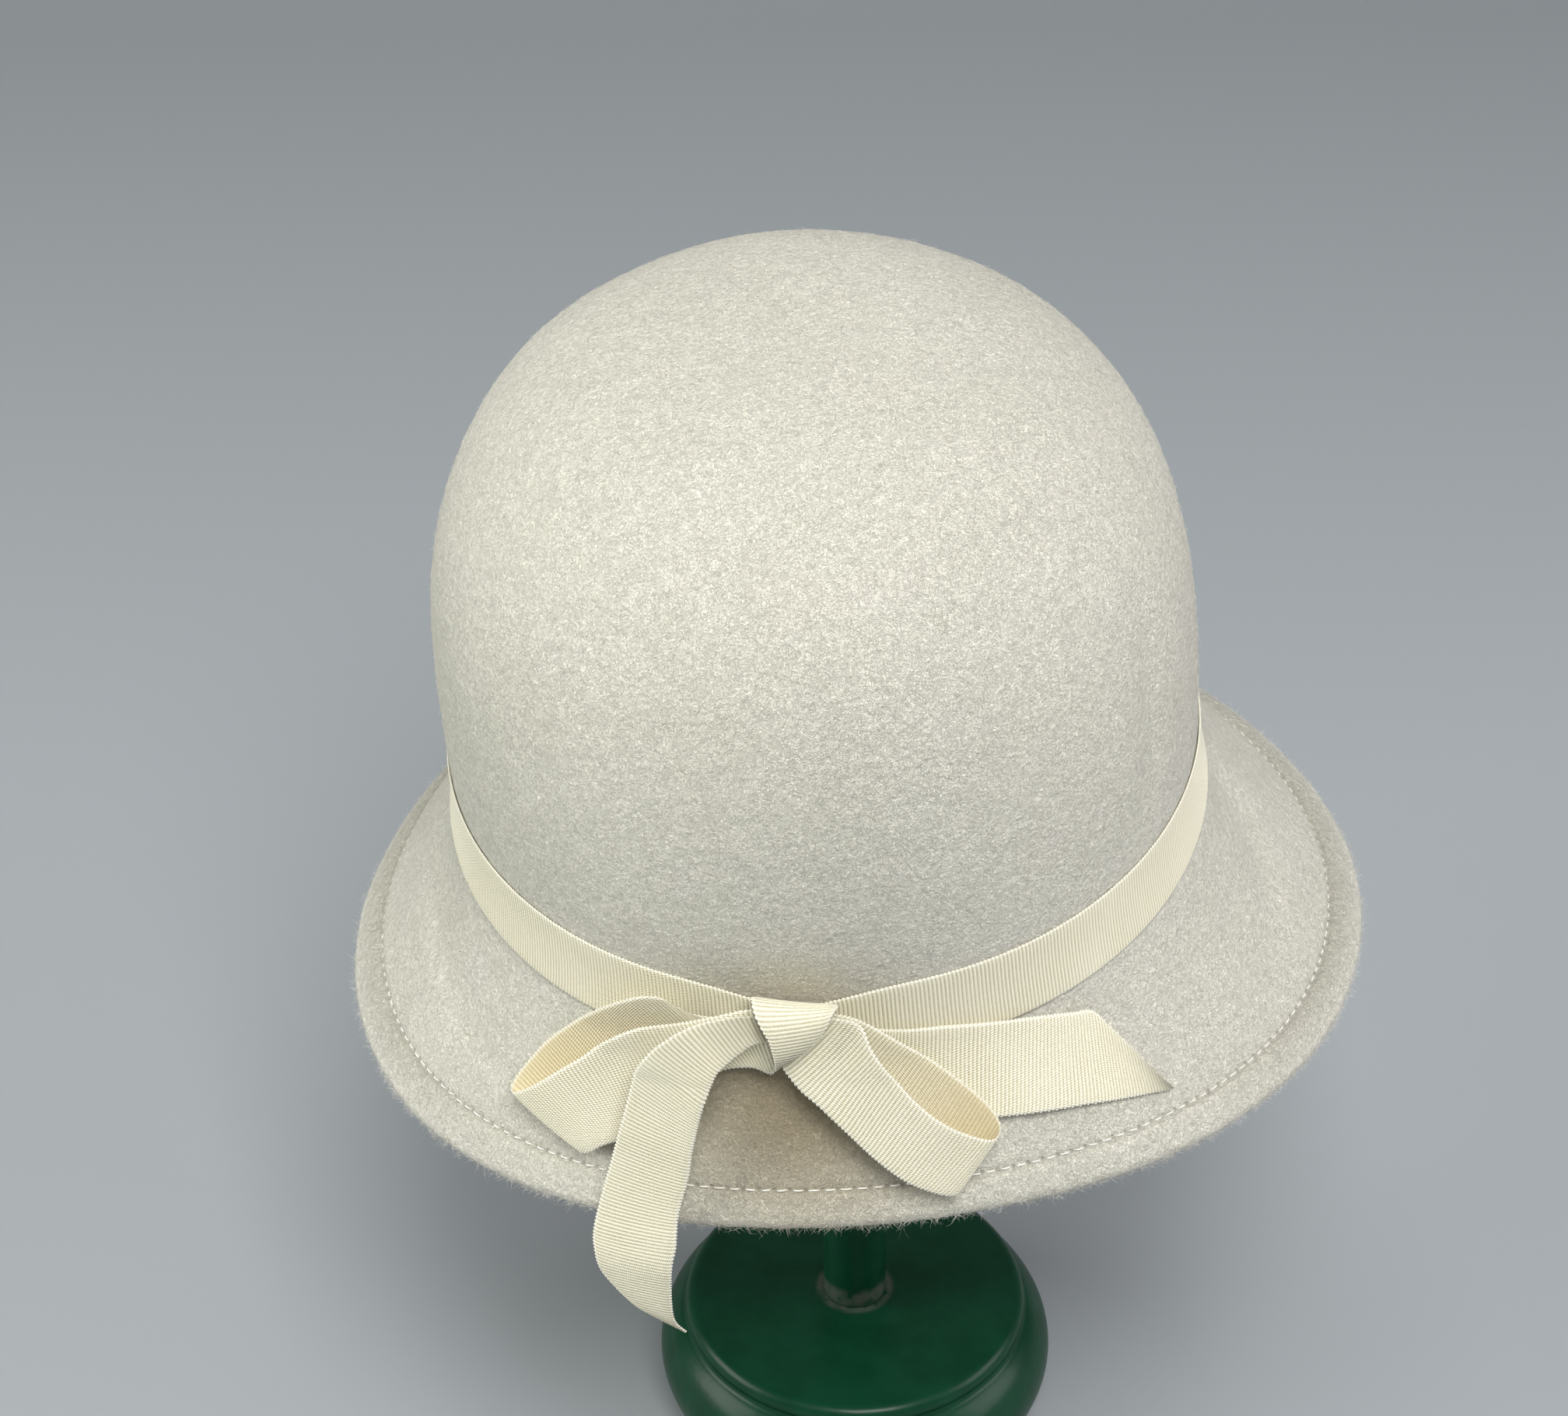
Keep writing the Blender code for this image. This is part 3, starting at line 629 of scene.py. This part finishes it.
grosgrain, shader, place = finish("cream_grosgrain", Roughness=0.50, Specular_IOR_Level=0.35,
                                  Sheen_Weight=0.10, Sheen_Roughness=0.4)
weave = place.node("ShaderNodeUVMap", {"uv_map": "weave"}, {})
rib_count = weave.part(0)
width_share = weave.part(1)
rib = rib_count.cosine()
warp = (width_share * 38.0 + rib_count * 0.5).cosine()
yarn = place.noise(0.0006, 2.0)
stain = place.noise(0.020, 1.0)
# Painted shade darkens the valleys between the ribs
tone = rib.band(-1.0, 0.4).tint((0.540, 0.492, 0.330), (0.880, 0.848, 0.675))
tone = (warp.band(-0.2, -1.0) * 0.30).tint(tone, (0.620, 0.560, 0.390))
tone = (yarn.band(0.35, 0.7) * 0.18).tint(tone, (0.920, 0.905, 0.800))
tone = (stain.band(0.4, 0.7) * 0.20).tint(tone, (0.880, 0.840, 0.690))
# Painted warm shade inside the loops round the fold, by each point's deep value
deep = place.node("ShaderNodeAttribute", {"attribute_name": "deep"}, {}, 2)
tone = (deep * 0.54).tint(tone, (0.545, 0.420, 0.175))
selvedge = abs(width_share - 0.5).band(0.455, 0.490)
tone = (selvedge * 0.55).tint(tone, (0.930, 0.910, 0.800))
wire(shader, Base_Color=tone, Normal=(warp * 0.6 + yarn).relief(0.00008))


def ribbed(middle_sheet, ribs, closed=False):
    """Both faces of a woven ribbon from its middle sheet, as one closed ring of columns.

    ribs counts the ribs along the sheet's rows, and closed says that its last row meets the first.
    Each face stands off the sheet by half the thickness and by a cosine of the rib count. The ribs
    lean over near the edges, where the weft turns back, and push the edge out a little.
    """
    normal = grid_normals(middle_sheet, False)
    if closed:
        steps = np.roll(middle_sheet, -1, 0) - np.roll(middle_sheet, 1, 0)
        normal = unit(np.cross(steps, np.gradient(middle_sheet, axis=1)))
    across = np.abs(2.0 * SHARES - 1.0)
    count = ribs[:, None] + 0.30 * across ** 10
    wave = np.cos(2.0 * math.pi * count)
    sideways = unit(np.gradient(middle_sheet, axis=1)) * np.sign(SHARES - 0.5)[:, None]
    middle_sheet = middle_sheet + sideways * (0.00015 * wave * across ** 16)[..., None]
    rounded = np.sqrt(np.clip(1.0 - across ** 24, 0.04, 1.0))
    stand = (RIBBON_THICK / 2.0 + RIB_HEIGHT * wave) * rounded
    front = middle_sheet + normal * stand[..., None]
    back = middle_sheet - normal * stand[..., None]
    shell = np.concatenate([front, back[:, ::-1]], 1)
    shares = np.broadcast_to(SHARES, count.shape)
    uv = np.stack([np.concatenate([count, count[:, ::-1], count[:, :1]], 1),
                   np.concatenate([shares, shares[:, ::-1], shares[:, :1]], 1)], -1)
    return shell, uv


band_ribs = round(2.0 * math.pi * BAND_RADIUS / RIB_PITCH)
band_theta = np.linspace(0.0, 2.0 * math.pi, band_ribs * RIB_STEPS + 1)
run = run_along(over_felt(band_theta, RIBBON_WIDTH / 2.0, 0.0))
even = np.linspace(0.0, run[-1], band_ribs * RIB_STEPS + 1)[:-1]
band_theta = np.interp(even, run, band_theta)
from_knot = np.remainder(band_theta - BOW_ANGLE + math.pi, 2.0 * math.pi) - math.pi
along = from_knot * CROWN_RADIUS
gather = KNOT_GATHER * np.exp(-(along / KNOT_REACH) ** 2)[:, None] * (1.0 - 2.0 * SHARES)
sheet = seated(over_felt(band_theta[:, None], RIBBON_WIDTH * SHARES + gather, BAND_LIFT))
shell, uv = ribbed(sheet, np.arange(band_ribs * RIB_STEPS) / RIB_STEPS, closed=True)
shell = np.concatenate([shell, shell[:1]])
uv = np.concatenate([uv, uv[:1] + (band_ribs, 0.0)])
ribbon_band = grid_piece("ribbon_band_woven", shell, grosgrain, weave=uv)
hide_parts("ribbon_band")


# Bow: the same ribbon tied flat over the band's joint. Each leaf lies on the one below: a tail
# along the brim, two folded loops, a tail that hangs over the brim's edge, and the knot on top.
RIBBON_LAYER = 0.0013
STATIONS = 400


def curve_rows(rows):
    """Rows read evenly from a Catmull-Rom curve through the given ones."""
    table = np.array(rows)
    table = np.concatenate([2.0 * table[:1] - table[1:2], table, 2.0 * table[-1:] - table[-2:-1]])
    way = np.linspace(0.0, len(rows) - 1.0, STATIONS)
    start = np.minimum(way.astype(int), len(rows) - 2)
    t = (way - start)[:, None]
    before, here, there, after = (table[start + k] for k in range(4))
    return 0.5 * (2.0 * here + (there - before) * t
                  + (2.0 * before - 5.0 * here + 4.0 * there - after) * t ** 2
                  + (3.0 * here - before - 3.0 * there + after) * t ** 3)


def bow_sheet(stations):
    """Middle sheet of a leaf, straight between its two edges, each as (along, down, lift)."""
    share = SHARES[None, :, None]
    place = stations[:, None, :3] * (1.0 - share) + stations[:, None, 3:] * share
    theta = BOW_ANGLE + place[..., 0] * RIBBON_WIDTH / CROWN_RADIUS
    return seated(over_felt(theta, place[..., 1] * RIBBON_WIDTH, place[..., 2] * RIBBON_LAYER))


def bow_leaf(name, node, rows, inside=None):
    """One leaf of the bow, ribbed along its length, in place of its CAD solid.

    inside names the face that lies inside a loop, 0 or 1. It gets painted warm shade round the
    fold.
    """
    stations = curve_rows(rows)
    run = run_along(bow_sheet(stations)[:, len(SHARES) // 2])
    ribs = round(run[-1] / RIB_PITCH)
    even = np.linspace(0.0, run[-1], ribs * RIB_STEPS + 1)
    stations = np.stack([np.interp(even, run, column) for column in stations.T], -1)
    shell, uv = ribbed(bow_sheet(stations), np.arange(ribs * RIB_STEPS + 1) / RIB_STEPS)
    deep = np.zeros(shell.shape[:2])
    if inside is not None:
        way = np.linspace(0.0, 1.0, len(shell))[:, None]
        first = inside * len(SHARES)
        deep[:, first:first + len(SHARES)] = np.exp(-((way - 0.55) / 0.22) ** 2)
    leaf = grid_piece(name, shell, grosgrain, poles=True, weave=uv, deep=deep)
    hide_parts(node)


# Stations of each leaf from one end to the other, as (along, down, lift) of its two edges. along
# and down count in ribbon widths from the middle of the bow and the ribbon's top, lift in layers.
knot_rows = (
    (-0.46, 0.04, 1.6, 0.50, 0.14, 1.6),
    (-0.42, -0.14, 4.6, 0.52, -0.04, 4.6),
    (-0.36, -0.10, 7.2, 0.50, -0.12, 6.6),
    (-0.28, 0.02, 8.8, 0.44, -0.08, 8.0),
    (-0.20, 0.18, 9.6, 0.36, 0.08, 8.8),
    (-0.16, 0.44, 9.8, 0.16, 0.36, 9.2),
    (-0.16, 0.72, 9.0, -0.12, 0.66, 9.0),
)
right_loop_rows = (
    (0.16, 0.10, 3.8, -0.14, 0.50, 5.2),
    (0.48, 0.10, 5.2, -0.12, 0.84, 6.2),
    (0.74, 0.12, 7.0, 0.04, 1.14, 7.0),
    (0.84, 0.44, 8.6, 0.26, 1.40, 7.6),
    (1.00, 0.86, 9.8, 0.52, 1.76, 8.0),
    (1.24, 1.40, 10.4, 0.78, 2.14, 8.0),
    (1.52, 1.82, 10.0, 1.04, 2.46, 7.6),
    (1.88, 2.16, 7.8, 1.34, 2.70, 6.6),
    (2.04, 2.14, 6.0, 1.50, 2.76, 5.2),
    (2.06, 1.96, 4.8, 1.52, 2.64, 4.2),
    (1.92, 1.64, 4.2, 1.34, 2.36, 3.8),
    (1.54, 1.10, 3.9, 0.96, 1.84, 3.7),
    (1.06, 0.58, 3.6, 0.50, 1.34, 3.6),
    (0.78, 0.32, 3.3, 0.26, 1.06, 3.4),
    (0.52, 0.20, 3.0, 0.08, 0.80, 3.1),
    (0.26, 0.20, 2.7, 0.06, 0.50, 2.9),
)
left_loop_rows = (
    (-0.18, 0.24, 2.9, -0.16, 0.66, 4.0),
    (-0.46, 0.14, 3.0, -0.24, 1.04, 4.6),
    (-0.88, 0.30, 3.3, -0.50, 0.98, 4.6),
    (-1.26, 0.40, 5.0, -0.88, 1.12, 5.0),
    (-1.66, 0.44, 8.2, -1.32, 1.68, 5.6),
    (-1.98, 0.74, 9.4, -1.54, 1.98, 5.6),
    (-2.26, 1.20, 9.8, -1.74, 2.18, 5.4),
    (-2.54, 1.60, 9.4, -1.88, 2.34, 5.2),
    (-2.84, 2.02, 8.0, -2.06, 2.50, 4.8),
    (-3.08, 2.30, 6.2, -2.18, 2.64, 4.0),
    (-3.26, 2.44, 4.8, -2.28, 2.72, 3.0),
    (-3.32, 2.30, 3.8, -2.26, 2.66, 2.2),
    (-3.20, 1.92, 3.6, -2.16, 2.38, 1.8),
    (-2.96, 1.46, 4.0, -1.98, 2.06, 1.8),
    (-2.34, 0.66, 5.2, -1.64, 1.52, 1.8),
    (-1.82, 0.16, 5.9, -1.26, 1.14, 2.0),
    (-1.50, 0.04, 5.4, -0.98, 0.92, 2.0),
    (-1.34, 0.20, 4.2, -0.80, 0.84, 2.0),
    (-1.06, 0.38, 2.7, -0.58, 0.78, 1.9),
    (-0.16, 0.30, 1.8, -0.14, 0.62, 1.9),
)
hanging_tail_rows = (
    (-0.16, 0.18, 4.6, -0.10, 0.40, 6.2),
    (-0.36, 0.10, 5.2, -0.26, 0.40, 6.6),
    (-0.60, 0.00, 7.2, -0.40, 0.36, 8.2),
    (-0.90, 0.00, 9.6, -0.60, 0.52, 10.2),
    (-1.14, 0.10, 12.0, -0.72, 0.68, 12.0),
    (-1.38, 0.40, 13.4, -0.80, 1.08, 12.8),
    (-1.54, 0.88, 13.4, -0.88, 1.48, 12.4),
    (-1.70, 1.86, 11.2, -0.98, 2.06, 10.0),
    (-1.80, 2.40, 8.8, -1.04, 2.50, 7.6),
    (-1.92, 3.04, 5.4, -1.14, 3.02, 4.8),
    (-1.98, 3.50, 3.2, -1.16, 3.40, 3.0),
    (-1.97, 3.72, 2.7, -1.20, 3.66, 2.6),
    (-1.90, 4.10, 2.4, -1.24, 4.04, 2.4),
    (-1.66, 4.50, 2.3, -1.26, 4.48, 2.4),
    (-1.44, 4.66, 2.2, -1.24, 4.68, 2.3),
    (-1.22, 4.80, 2.0, -1.16, 4.82, 2.2),
)
brim_tail_rows = (
    (0.20, 0.36, 1.8, 0.06, 0.80, 1.8),
    (0.90, 0.54, 1.8, 0.62, 1.24, 1.8),
    (1.26, 0.62, 1.8, 1.10, 1.68, 1.8),
    (1.76, 0.70, 1.9, 1.58, 1.94, 2.0),
    (2.32, 0.86, 1.9, 2.06, 2.04, 2.2),
    (2.86, 1.04, 1.8, 2.54, 2.18, 2.1),
    (3.32, 1.24, 1.5, 3.02, 2.34, 1.7),
    (3.58, 1.38, 1.2, 3.30, 2.46, 1.3),
    (3.74, 1.72, 1.1, 3.52, 2.56, 1.1),
    (3.92, 2.22, 1.0, 3.82, 2.70, 1.0),
    (4.08, 2.76, 1.0, 4.11, 2.85, 1.0),
)
bow_leaf("bow_tail_brim_woven", "bow_tail_brim", brim_tail_rows)
bow_leaf("bow_loop_left_woven", "bow_loop_left", left_loop_rows,
         inside=1)
bow_leaf("bow_loop_right_woven", "bow_loop_right", right_loop_rows,
         inside=0)
bow_leaf("bow_tail_hanging_woven", "bow_tail_hanging", hanging_tail_rows)
bow_leaf("bow_knot_woven", "bow_knot", knot_rows)


# Stand: turned wood under green gloss paint, with a beaded disc on a thick rounded foot, a
# plain post glued into it, and a plain rounded head hidden inside the crown.
FOOT_TOP = 0.0352
POLE_RADIUS = 0.001
TURNED_COLUMNS = 160
paint, shader, place = finish("green_gloss_paint", Roughness=0.34, Specular_IOR_Level=0.19,
                              Coat_Weight=0.06, Coat_Roughness=0.14)
coat = place.noise(0.010, 2.0)
peel = place.noise(0.0022, 1.0)
joint = place.distance((0.0, 0.0, FOOT_TOP))
glue = joint.band(0.0080, 0.0088) * (1.0 - joint.band(0.0094, 0.0112))
glue = glue * place.noise(0.0040, 2.0).band(0.30, 0.62)
tone = coat.band(0.3, 0.7).tint((0.0025, 0.0380, 0.0160), (0.0040, 0.0480, 0.0220))
tone = (glue * 0.55).tint(tone, (0.120, 0.125, 0.105))
wire(shader, Base_Color=tone, Normal=peel.relief(0.00004))


def level(first, last, height, count):
    """Level stretch of a turned outline as (radius, height) pairs, from one radius to another."""
    return np.stack([np.linspace(first, last, count), np.full(count, height)], -1)


def bend(middle, radius, first, last, count):
    """Arc of a turned outline as (radius, height) pairs, by angle from the horizontal."""
    turn = np.radians(np.linspace(first, last, count))
    return np.stack([middle[0] + radius * np.cos(turn), middle[1] + radius * np.sin(turn)], -1)


def turned_piece(name, node, outline):
    """Outline carried round the stand's axis, closed at its two poles."""
    outline = np.concatenate(outline)
    turn = 2.0 * math.pi * np.arange(TURNED_COLUMNS) / TURNED_COLUMNS
    points = np.stack([outline[:, :1] * np.cos(turn), outline[:, :1] * np.sin(turn),
                       outline[:, 1:] + 0.0 * turn], -1)
    piece = grid_piece(name, points, paint, poles=True)
    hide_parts(node)


turned_piece("stand_foot", "stand_base", (
    level(POLE_RADIUS, 0.0425, FOOT_TOP, 20),
    bend((0.0430, 0.0320), 0.0032, 88.0, -38.0, 16),
    bend((0.0371, 0.0163), 0.0163, 52.0, -90.0, 40),
    level(0.0360, POLE_RADIUS, 0.0, 10)))
low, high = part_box("stand_post")
turned_piece("stand_pillar", "stand_post", (
    level(POLE_RADIUS, 0.0080, high[2], 4),
    np.stack([np.full(12, 0.0085), np.linspace(high[2] - 0.0005, low[2] + 0.0006, 12)], -1),
    bend((0.0083, low[2] + 0.0002), 0.0002, 0.0, -90.0, 4),
    level(0.0080, POLE_RADIUS, low[2], 5)))
low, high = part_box("stand_dome")
turned_piece("stand_head", "stand_dome", (
    bend((0.0, high[2] - 0.0500), 0.0500, 89.0, 44.5, 24),
    bend((0.0350, low[2] + 0.0015), 0.0010, 20.0, -90.0, 6),
    level(0.0340, POLE_RADIUS, low[2], 10)))


# Backdrop: a plain pale sweep that bends up from floor to wall, under one strong soft light above
# and in front, a weak one overhead and one on each side.
LIGHT_AIM = (0.0, 0.0, 0.2)
backdrop = finish("backdrop", Base_Color=(0.345, 0.372, 0.395, 1.0), Roughness=0.9)[0]
across = np.linspace(-4.0, 4.0, 9)
bend_turn = np.radians(np.linspace(-90.0, 0.0, 13))
depth = np.concatenate([[-4.0], 1.0 + 0.8 * np.cos(bend_turn), [1.8]])
height = np.concatenate([[0.0], 0.8 + 0.8 * np.sin(bend_turn), [5.0]])
sweep = np.stack([across + 0.0 * depth[:, None], depth[:, None] + 0.0 * across,
                  height[:, None] + 0.0 * across], -1)
mesh = bpy.data.meshes.new("sweep")
index = np.arange(sweep[..., 0].size).reshape(sweep.shape[:2])
mesh.from_pydata(sweep.reshape(-1, 3), [], np.stack(
    [index[:-1, :-1], index[:-1, 1:], index[1:, 1:], index[1:, :-1]], -1).reshape(-1, 4).tolist())
mesh.shade_smooth()
mesh.materials.append(backdrop)
floor = bpy.data.objects.new("sweep", mesh)
bpy.context.scene.collection.objects.link(floor)


def soft_light(name, place, size, watts, colour):
    """Square light that faces the middle of the hat and its stand."""
    data = bpy.data.lights.new(name, "AREA")
    data.size = size
    data.energy = watts
    data.color = colour
    light = bpy.data.objects.new(name, data)
    light.location = place
    way = np.array(place) - np.array(LIGHT_AIM)
    spin = math.atan2(way[0], -way[1])
    tilt = math.atan2(math.hypot(way[0], way[1]), way[2])
    light.rotation_euler = (tilt, 0.0, spin)
    bpy.context.scene.collection.objects.link(light)


soft_light("above_front", (0.18, -1.0, 1.54), 0.7, 26.0, (1.0, 0.99, 0.96))
soft_light("overhead", (0.0, 0.0, 1.9), 1.0, 5.0, (1.0, 1.0, 1.0))
soft_light("left", (-1.60, -0.22, 0.80), 1.0, 20.0, (1.0, 1.0, 0.94))
soft_light("right", (1.60, -0.22, 0.80), 1.0, 12.5, (1.0, 0.97, 1.0))
world = bpy.data.worlds.new("room")
world.use_nodes = True
world.node_tree.nodes["Background"].inputs["Color"].default_value = (0.90, 0.94, 1.0, 1.0)
world.node_tree.nodes["Background"].inputs["Strength"].default_value = 0.12
bpy.context.scene.world = world
bpy.context.scene.view_settings.view_transform = "Standard"
